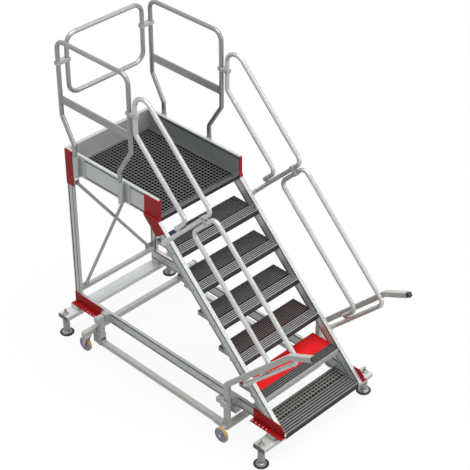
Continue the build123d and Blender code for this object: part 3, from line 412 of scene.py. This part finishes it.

# ---------------------------------------------------------------------------
# Treads: gratings of galvanised bearing bars along the step, locked by cross
# bars, in a frame with end plates and a ribbed nosing. The cells are painted
# dark as shade, and the zinc is rubbed lighter on the walking edges.
# ---------------------------------------------------------------------------
# Web, rib, cell and groove; the cell and groove tones are painted shade at depth.
PLAIN_TONES = (rgb(112, 113, 112), rgb(160, 162, 160), rgb(48, 49, 49), rgb(40, 41, 41))
TREAD_TONES = {1: PLAIN_TONES, 2: PLAIN_TONES, 3: PLAIN_TONES,
               # Tread 4 has a red cast painted in, as red light reflected from the plate below it.
               4: (rgb(110, 100, 101), rgb(162, 160, 160), rgb(74, 42, 46), rgb(42, 40, 41)),
               5: (rgb(84, 85, 84), rgb(112, 113, 112), rgb(44, 45, 45), rgb(34, 35, 35)),
               6: (rgb(160, 161, 154), rgb(124, 126, 124), rgb(88, 90, 85), rgb(22, 23, 22))}
LOWEST_TREAD = 6
PLATED_TREAD = 5
TREAD_DEEP = 0.038
END_PLATE = 0.004
RIB_DEEP = 0.0065
RIB_FOOT = 0.0015
BAR_WIDE = 0.0056
TIE_PITCH = 0.0315
TIE_WIDE = 0.0050
TIE_DEEP = 0.018
TIE_LAP = 0.002
BACK_GAP = 0.008
NOSE_DROP = 0.046
NOSE_SHEET = 0.0045
NOSE_FOLD = 0.012
PLATE_NECK = 0.040
PLATE_TOE = 0.0135
PALE_SHEET = 0.0035
SHADE_DEEP = 0.036


def blocks(lows, highs):
    """Straight bars: corner i of bar n is low + bit pattern of i times (high - low)."""
    lows = np.asarray(lows, dtype=float).reshape(-1, 3)
    highs = np.asarray(highs, dtype=float).reshape(-1, 3)
    bits = (np.arange(8)[:, None] >> np.arange(3)[None, :]) & 1
    points = lows[:, None, :] + bits[None, :, :] * (highs - lows)[:, None, :]
    sides = np.array([[0, 4, 6, 2], [1, 3, 7, 5], [0, 1, 5, 4],
                      [2, 6, 7, 3], [0, 2, 3, 1], [4, 5, 7, 6]])
    faces = sides[None, :, :] + 8 * np.arange(len(lows))[:, None, None]
    return points.reshape(-1, 3), faces.reshape(-1, 4).tolist()


def rods(axis, places, wide, start, end, bottom, top):
    """Level bars along axis 0 or 1, from start to end, centred on places of the other axis."""
    lows = np.empty((len(places), 3))
    highs = np.empty((len(places), 3))
    lows[:, axis], highs[:, axis] = start, end
    lows[:, 1 - axis], highs[:, 1 - axis] = places - wide / 2, places + wide / 2
    lows[:, 2], highs[:, 2] = bottom, top
    return blocks(lows, highs)


def drawn_out(profile, start, end, y, z):
    """A closed profile of (u, v) carried along x from start to end: its points are
    (start or end, y + u, z + v), and both ends are capped."""
    u, v = np.asarray(profile, dtype=float).T
    count = len(u)
    points = np.concatenate([np.column_stack([np.full(count, x), y + u, z + v])
                             for x in (start, end)])
    here = np.arange(count)
    there = (here + 1) % count
    faces = np.stack([here, there, there + count, here + count], axis=1).tolist()
    faces += [list(range(count))[::-1], list(range(count, 2 * count))]
    area = np.sum(u * np.roll(v, -1) - np.roll(u, -1) * v)
    if area * (end - start) < 0:
        faces = [face[::-1] for face in faces]
    return points, faces


def gather(*parts):
    """Several (points, faces) pairs as one pair, with the face numbers shifted."""
    points, faces, shift = [], [], 0
    for part_points, part_faces in parts:
        points.append(part_points)
        faces += [[corner + shift for corner in face] for face in part_faces]
        shift += len(part_points)
    return np.concatenate(points), faces


def piece(name, shape, material, body, smooth=None):
    """A mesh object in the row frame that rides on a body. smooth is an angle in degrees."""
    points, faces = shape
    mesh = bpy.data.meshes.new(name)
    mesh.from_pydata(points.tolist(), [], faces)
    mesh.update()
    made = bpy.data.objects.new(name, mesh)
    scene.collection.objects.link(made)
    mesh.materials.append(material)
    if smooth is not None:
        mesh.shade_smooth()
        mesh.set_sharp_from_angle(angle=math.radians(smooth))
    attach(made, body)
    return made


def grating_zinc(name, front, top, nose, tones, depth, sheet=None):
    """Old galvanising: spangle from large cells, worn light on the top edges, and darker
    below as painted shade. top is the walking level and depth how far the painted shade falls
    below it. tones are those of web, rib, cell and groove, cell and groove being the painted
    shade at depth: up to nose metres behind front the rib and its groove show, beyond it web
    and cell. Further than sheet from the middle the side plates are pale zinc."""
    web, rib, cell, groove = tones
    finish = Finish(name)
    place = finish.place()
    spangle = finish.node("TexVoronoi", {"Vector": place, "Scale": 140.0}, feature="F1")
    grime = finish.noise(place, scale=34.0, detail=5.0, rough=0.65)
    fine = finish.noise(place, scale=600.0, detail=3.0, rough=0.7)
    # Painted shade: the tone falls toward the cell and groove tones with depth.
    sunk = (top - finish.along(place, UP)) * (1.0 / depth)
    trodden = finish.along(place, BACK).below(front + nose, soft=0.004)
    worn = sunk.below(0.05, soft=0.06) * 0.80
    tone = worn + (1.0 - sunk) * 0.10 + grime * 0.20 + spangle * 0.10 - 0.08
    colouring = finish.blend(tone, finish.blend(trodden, cell, groove),
                             finish.blend(trodden, web, rib))
    if sheet:
        outer = abs(finish.along(place, RIGHT)).above(sheet, soft=0.0005)
        colouring = finish.blend(outer * sunk.above(0.20, soft=0.08), colouring,
                                 rgb(150, 153, 151))
    return finish.wear(Base_Color=colouring, Metallic=0.45, Specular_IOR_Level=0.2,
                       Roughness=grime * 0.25 + spangle * 0.15 + 0.36,
                       Normal=finish.bump(fine * 0.5 + grime, distance=0.0006, strength=0.3))


def ribbed_nose(ribs, pitch, wide):
    """Nosing profile over (y, z): a row of flat ribs, RIB_DEEP high, on a plate with a
    folded front."""
    deep = pitch * ribs
    comb = []
    for rib in range(ribs):
        y = rib * pitch
        comb += [(y + RIB_FOOT, 0.0), (y + RIB_FOOT + wide, 0.0),
                 (y + 0.0022 + wide, -RIB_DEEP), (y + pitch + 0.0008, -RIB_DEEP)]
    comb[-1] = (deep, -RIB_DEEP)
    rear_fold = [(deep, -0.022), (deep - 0.004, -0.022), (deep - 0.004, -0.0105)]
    front_fold = [(NOSE_SHEET, -0.0105), (NOSE_SHEET, -0.041), (NOSE_FOLD, -0.041),
                  (NOSE_FOLD, -NOSE_DROP), (0.0, -NOSE_DROP), (0.0, -RIB_FOOT)]
    return comb + rear_fold + front_fold


for number in range(1, 7):
    (left, front, _), (right, back, top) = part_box(f"tread_{number}")
    bottom = top - TREAD_DEEP
    if number == LOWEST_TREAD:
        ribs, rib_pitch, rib_wide, bar_pitch, tie_sunk = 6, 0.0232, 0.0125, 0.0265, 0.0012
    else:
        ribs, rib_pitch, rib_wide, bar_pitch, tie_sunk = 5, 0.0175, 0.0072, 0.0155, 0.0085
    nose = rib_pitch * ribs
    bar_y = np.arange(front + nose + bar_pitch * 0.8, back - BACK_GAP, bar_pitch)
    bars = rods(0, bar_y, BAR_WIDE, left + END_PLATE, right - END_PLATE, bottom, top)
    tie_x = np.arange(left + TIE_PITCH / 2, right, TIE_PITCH)
    ties = rods(1, tie_x, TIE_WIDE, front + nose - TIE_LAP, back - BAR_WIDE,
                top - TIE_DEEP, top - tie_sunk)
    back_bar = blocks([left + END_PLATE, back - BAR_WIDE, bottom],
                      [right - END_PLATE, back, top])
    plate = [(0.0, 0.0), (back - front, 0.0), (back - front, -TREAD_DEEP),
             (PLATE_NECK, -TREAD_DEEP), (PLATE_TOE, -NOSE_DROP), (0.0, -NOSE_DROP)]
    ends = [drawn_out(plate, x, x + END_PLATE, front, top) for x in (left, right - END_PLATE)]
    nosing = drawn_out(ribbed_nose(ribs, rib_pitch, rib_wide),
                       left + END_PLATE, right - END_PLATE, front, top)
    zinc = grating_zinc(f"tread_zinc_{number}", front, top, nose, TREAD_TONES[number],
                        depth=SHADE_DEEP, sheet=right - PALE_SHEET)
    step = piece(f"tread_grating_{number}", gather(bars, ties, back_bar, *ends, nosing),
                 zinc, "stair")
    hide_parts(f"tread_{number}")

low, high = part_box(f"tread_{PLATED_TREAD}")
riser = [(-0.0022, -0.006), (0.0, -0.004), (0.0, -0.046),
         (0.0085, -0.0485), (0.0085, -0.0507), (-0.0022, -0.0475)]
piece(f"tread_{PLATED_TREAD}_front_plate",
      drawn_out(riser, low[0] + END_PLATE, high[0] - END_PLATE, low[1], high[2]),
      drawn("front_plate", rgb(192, 193, 192), 0, lines=0.06), "stair")

# ---------------------------------------------------------------------------
# Platform deck: the same grating in one panel, sunk between the toe boards,
# with a plain rim on three sides and a ribbed lip over the top tread.
# ---------------------------------------------------------------------------
# Web, rib, cell and groove; the cell and groove tones are painted shade at depth.
DECK_TONES = (rgb(112, 114, 113), rgb(122, 124, 122), rgb(34, 35, 35), rgb(34, 35, 35))
DECK_DEEP = 0.034
DECK_PITCH = 0.0300
DECK_BAR = 0.0048
DECK_TIE = 0.0052
DECK_TIE_DEEP = 0.022
DECK_TIE_SUNK = 0.0008
FIRST_BAR = 0.012
FIRST_TIE = 0.014
RIM = 0.022
LIP = 0.040
RIDGES = 4
RIDGE_PITCH = 0.010
RIDGE_DEEP = 0.0035

(left, front, _), (right, back, top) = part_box("platform_deck")
bottom = top - DECK_DEEP
bar_y = np.arange(front + LIP + FIRST_BAR, back - RIM, DECK_PITCH)
bars = rods(0, bar_y, DECK_BAR, left + RIM, right - RIM, bottom, top)
tie_x = np.arange(left + RIM + FIRST_TIE, right - RIM, DECK_PITCH)
ties = rods(1, tie_x, DECK_TIE, front + LIP, back - RIM,
            top - DECK_TIE_DEEP, top - DECK_TIE_SUNK)
rims = blocks([[left, front, bottom], [right - RIM, front, bottom],
               [left + RIM, back - RIM, bottom]],
              [[left + RIM, back, top], [right, back, top], [right - RIM, back, top]])
ridge = []
for number in range(RIDGES):
    y = number * RIDGE_PITCH
    ridge += [(0.0015 + y, 0.0), (0.0065 + y, 0.0),
              (0.0070 + y, -RIDGE_DEEP), (0.0110 + y, -RIDGE_DEEP)]
ridge[-1] = (LIP, -RIDGE_DEEP)
lip_front = [(LIP, -DECK_DEEP), (0.0, -DECK_DEEP), (0.0, -0.022), (0.0015, -0.020),
             (0.0015, -0.012), (0.0, -0.010), (0.0, -0.0015)]
deck_lip = drawn_out(ridge + lip_front, left + RIM, right - RIM, front, top)
deck = piece("deck_grating", gather(bars, ties, rims, deck_lip),
             grating_zinc("deck_zinc", front, top, LIP, DECK_TONES, depth=DECK_DEEP),
             "stair")
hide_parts("platform_deck")

# ---------------------------------------------------------------------------
# Outriggers: flat steel tubes under the base rails, welded to short pads,
# with a dark push-in plug in each open end.
# ---------------------------------------------------------------------------
# The rear outrigger is paler and less metallic than the front one: painted light that lifts the
# shade of the deck above it.
OUTRIGGERS = {"outrigger_front": (rgb(198, 201, 198), 0.3),
              "outrigger_rear": (rgb(234, 237, 237), 0.1)}
PLUG_LOW = 0.004
PLUG_HIGH = 0.038
PLUG_CORNER = 0.004
PLUG_REACH = 0.004

plug_grey = cast("plug_plastic", rgb(82, 86, 84), rough=0.5, metallic=0.0)
for node, (tone, metallic) in OUTRIGGERS.items():
    dress(node, drawn(node + "_zinc", tone, 0, lines=0.05, metallic=metallic))
    low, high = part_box(node)
    half = (high[1] - low[1]) / 2
    plug = [(-half + PLUG_CORNER, PLUG_LOW), (half - PLUG_CORNER, PLUG_LOW),
            (half, PLUG_LOW + PLUG_CORNER), (half, PLUG_HIGH - PLUG_CORNER),
            (half - PLUG_CORNER, PLUG_HIGH), (-half + PLUG_CORNER, PLUG_HIGH),
            (-half, PLUG_HIGH - PLUG_CORNER), (-half, PLUG_LOW + PLUG_CORNER)]
    ends = [drawn_out(plug, x - reach / 4, x + reach, (low[1] + high[1]) / 2, low[2])
            for x, reach in ((low[0], -PLUG_REACH), (high[0], PLUG_REACH))]
    piece(node + "_plugs", gather(*ends), plug_grey, "stair")

# ---------------------------------------------------------------------------
# Screw feet: a steel disc with a dark rubber ring, a threaded spindle inside
# a tube column, and a lock nut on top of the outrigger.
# ---------------------------------------------------------------------------
RUBBER_FROM = 0.0405
OUTRIGGER_HIGH = 0.042
NUT = [(0.0185, 0.0), (0.020, 0.0015), (0.020, 0.0125), (0.0180, 0.014)]
NUT_WASHER = [(0.026, 0.0), (0.0268, 0.0008), (0.0268, 0.0022), (0.026, 0.003)]


def turned(profile, centres, axis, steps):
    """A profile of (radius, height) turned about the unit axis, along x or z, through each
    centre: centre + r cos a u + r sin a v + h axis, with flat caps."""
    profile = np.asarray(profile, dtype=float)
    centres = np.asarray(centres, dtype=float).reshape(-1, 3)
    axis = np.asarray(axis, dtype=float)
    helper = np.array([0.0, 0.0, 1.0]) if abs(axis[2]) < 0.9 else np.array([1.0, 0.0, 0.0])
    u = np.cross(helper, axis)
    v = np.cross(axis, u)
    angle = np.arange(steps) * 2 * math.pi / steps
    around = np.cos(angle)[:, None] * u + np.sin(angle)[:, None] * v
    one = profile[:, 0, None, None] * around[None] + profile[:, 1, None, None] * axis
    points = (centres[:, None, None, :] + one[None]).reshape(-1, 3)
    rows = len(profile)
    row = np.arange(rows - 1)[:, None] * steps
    step = np.arange(steps)
    next_step = (step + 1) % steps
    quads = np.stack([row + step, row + next_step, row + steps + next_step, row + steps + step],
                     -1).reshape(-1, 4)
    faces = []
    for first in range(0, len(centres) * rows * steps, rows * steps):
        faces += (quads + first).tolist()
        faces.append((step[::-1] + first).tolist())
        faces.append((step + first + (rows - 1) * steps).tolist())
    return points, faces


def from_line(finish, place, centre, first, second):
    """How far the point lies from a line through centre that is square to both directions:
    the root of the sum of the two squares."""
    a = finish.along(place, first) - float(np.dot(centre, first))
    b = finish.along(place, second) - float(np.dot(centre, second))
    return (a * a + b * b).math("SQRT")


def disc_foot(name, centre):
    """Dull zinc disc whose rim, beyond RUBBER_FROM from the spindle, is black rubber."""
    finish = Finish(name)
    place = finish.place()
    rubber = from_line(finish, place, centre, RIGHT, BACK).above(RUBBER_FROM, soft=0.001)
    grime = finish.noise(place, scale=60.0, detail=5.0, rough=0.6)
    turned_lines = finish.streaks(place, 2, along=900.0, across=90.0, detail=2.0)
    zinc = finish.blend(grime, rgb(124, 126, 125), rgb(180, 182, 180))
    return finish.wear(Base_Color=finish.blend(rubber, zinc, rgb(34, 35, 35)),
                       Metallic=(1.0 - rubber) * 0.55,
                       Roughness=rubber * 0.25 + grime * 0.2 + 0.30,
                       Normal=finish.bump(turned_lines + grime, distance=0.0006, strength=0.3))


def middle(node):
    """The middle of a CAD node's box."""
    low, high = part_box(node)
    return [(a + b) / 2 for a, b in zip(low, high)]


outrigger_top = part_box("outrigger_front")[0][2] + OUTRIGGER_HIGH
nut_seats = []
for node in ("foot_front_left", "foot_front_right", "foot_rear_left", "foot_rear_right"):
    centre = middle(node)
    dress(node, disc_foot(node + "_finish", centre))
    nut_seats.append((centre[0], centre[1], outrigger_top))
dress("foot_sleeves", drawn("column_steel", rgb(158, 160, 158), 2, lines=0.08, metallic=0.4))

zinc_screw = cast("screw_zinc", rgb(176, 178, 174), rough=0.34, metallic=0.75)
piece("lock_nuts", turned(NUT, nut_seats, UP, 6), zinc_screw, "stair")
piece("lock_washers", turned(NUT_WASHER, nut_seats, UP, 32), zinc_screw, "stair",
      smooth=35)

# ---------------------------------------------------------------------------
# Castor gear: square and round steel tube, zinc plated after welding, a little
# warmer and duller than the aluminium, hung on pins with large heads. The
# levers end in black plastic grips.
# ---------------------------------------------------------------------------
def plated(name, colour, run):
    """Passivated zinc on tube: a faint green and straw cast in slow clouds, drawn lines
    along the run."""
    finish = Finish(name)
    place = finish.place()
    cast_cloud = finish.noise(place, scale=14.0, detail=4.0)
    stains = finish.noise(place, scale=48.0, detail=6.0, rough=0.7)
    die_lines = finish.streaks(place, run, along=5.0, across=380.0, detail=3.0)
    straw = (colour[0] * 0.93, colour[1] * 0.95, colour[2] * 0.89, 1.0)
    tint = finish.blend(cast_cloud.above(0.5, soft=0.35), colour, straw)
    colouring = finish.blend(stains * 0.5 + die_lines * 0.3 - 0.12, tint, shaded(colour, 0.66))
    return finish.wear(Base_Color=colouring, Metallic=0.22, Roughness=stains * 0.16 + 0.48,
                       Normal=finish.bump(die_lines * 0.4 + stains, distance=0.0006,
                                          strength=0.15))


dress("lever_frame", plated("lever_steel", rgb(202, 203, 199), 1))
dress("carriage", plated("carriage_steel", rgb(208, 209, 207), 1))
dress("pivot_brackets", plated("pivot_steel", rgb(202, 204, 203), 1))
for side in ("left", "right"):
    rocker, fork = "rocker_" + side, "castor_fork_" + side
    dress(rocker, plated(rocker + "_steel", rgb(206, 207, 203), 2))
    dress(fork, plated(fork + "_steel", rgb(196, 198, 197), 2))
dress("lever_grips", cast("grip_plastic", rgb(34, 35, 36), rough=0.45, metallic=0.0))

# ---------------------------------------------------------------------------
# Wheels: a cast grey hub with a violet tint, dished on both faces, and an
# orange-yellow polyurethane tread cast round it. Each turns on a plain axle.
# ---------------------------------------------------------------------------
TREAD_THICK = 0.0012
RIM_SHADE = 0.0075


def tyred(name, centre, rim):
    """Out at the rim the wheel is polyurethane, inside it a grey hub, by distance from the
    axle alone."""
    finish = Finish(name)
    place = finish.place()
    radius = from_line(finish, place, centre, BACK, UP)
    tread = radius.above(rim - TREAD_THICK, soft=0.0008)
    shade = abs(radius - rim + RIM_SHADE).below(0.0018, soft=0.0014)
    scuffs = finish.noise(place, scale=130.0, detail=5.0, rough=0.7)
    slow = finish.noise(place, scale=26.0, detail=3.0)
    hub = finish.blend(slow, rgb(128, 128, 150), rgb(164, 164, 184))
    hub = finish.blend(shade * 0.7, hub, rgb(70, 70, 84))
    rubber = finish.blend(scuffs, rgb(196, 146, 66), rgb(226, 178, 92))
    return finish.wear(Base_Color=finish.blend(tread, hub, rubber), Metallic=0.0,
                       Roughness=scuffs * 0.2 + 0.32,
                       Normal=finish.bump(scuffs, distance=0.0005, strength=0.35))


for node in ("wheel_front_left", "wheel_front_right", "wheel_rear_left", "wheel_rear_right"):
    low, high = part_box(node)
    dress(node, tyred(node + "_finish", middle(node), (high[2] - low[2]) / 2))

# ---------------------------------------------------------------------------
# Tread bolts: zinc-plated hexagon heads on washers, two through each stringer
# into the end plate of every tread.
# ---------------------------------------------------------------------------
HEAD = [(0.0078, 0.0), (0.0086, 0.0006), (0.0086, 0.0050), (0.0070, 0.0062)]
WASHER = [(0.0118, 0.0), (0.0122, 0.0004), (0.0122, 0.0014), (0.0118, 0.0018)]
WASHER_THICK = 0.0018
STRINGER_FACE = 0.4201
GOING = 0.206
RISE = 0.208
LOWEST_LEVEL = 0.228
BOLTS = ((0.060, -0.022), (0.098, -0.018))


def bolted(name, places, axis):
    """Washers and hexagon heads standing on a face at the given places."""
    axis = np.asarray(axis, dtype=float)
    places = np.asarray(places, dtype=float)
    heads = turned(HEAD, places + axis * WASHER_THICK, axis, 6)
    washers = turned(WASHER, places, axis, 20)
    piece(name, gather(heads, washers), zinc_screw, "stair")


lowest_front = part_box(f"tread_{LOWEST_TREAD}")[0][1]
for side, tag in ((-1, "left"), (1, "right")):
    places = [(side * STRINGER_FACE, lowest_front + step * GOING + y,
               LOWEST_LEVEL + step * RISE + z) for step in range(6) for y, z in BOLTS]
    bolted(f"tread_bolts_{tag}", places, (side, 0, 0))
